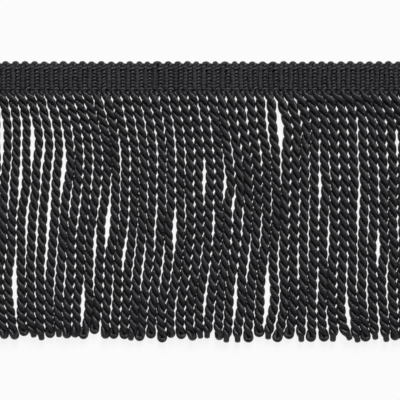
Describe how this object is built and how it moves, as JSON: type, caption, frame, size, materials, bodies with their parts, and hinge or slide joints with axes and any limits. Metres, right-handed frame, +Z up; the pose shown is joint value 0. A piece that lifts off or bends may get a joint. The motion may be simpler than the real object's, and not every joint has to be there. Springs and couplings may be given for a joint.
{
  "type": "bullion fringe",
  "caption": "Cut length of black trimming: a ribbed, scalloped crocheted band with a close row of twisted cords hanging from it, laid flat.",
  "frame": {"origin": "centre of the whole trimming's box, on the surface that it lies on", "axes": "+X along the band, +Y from the cords' ends to the scalloped edge, +Z up from the surface, out of the face side"},
  "size_m": [0.1594, 0.1016, 0.003],
  "materials": {
    "heading_yarn": "black crocheted yarn, matt",
    "bullion_yarn": "black twisted yarn with a soft sheen"
  },
  "bodies": {
    "root": {"heading": "heading_yarn", "skirt": "bullion_yarn"}
  },
  "joints": []
}
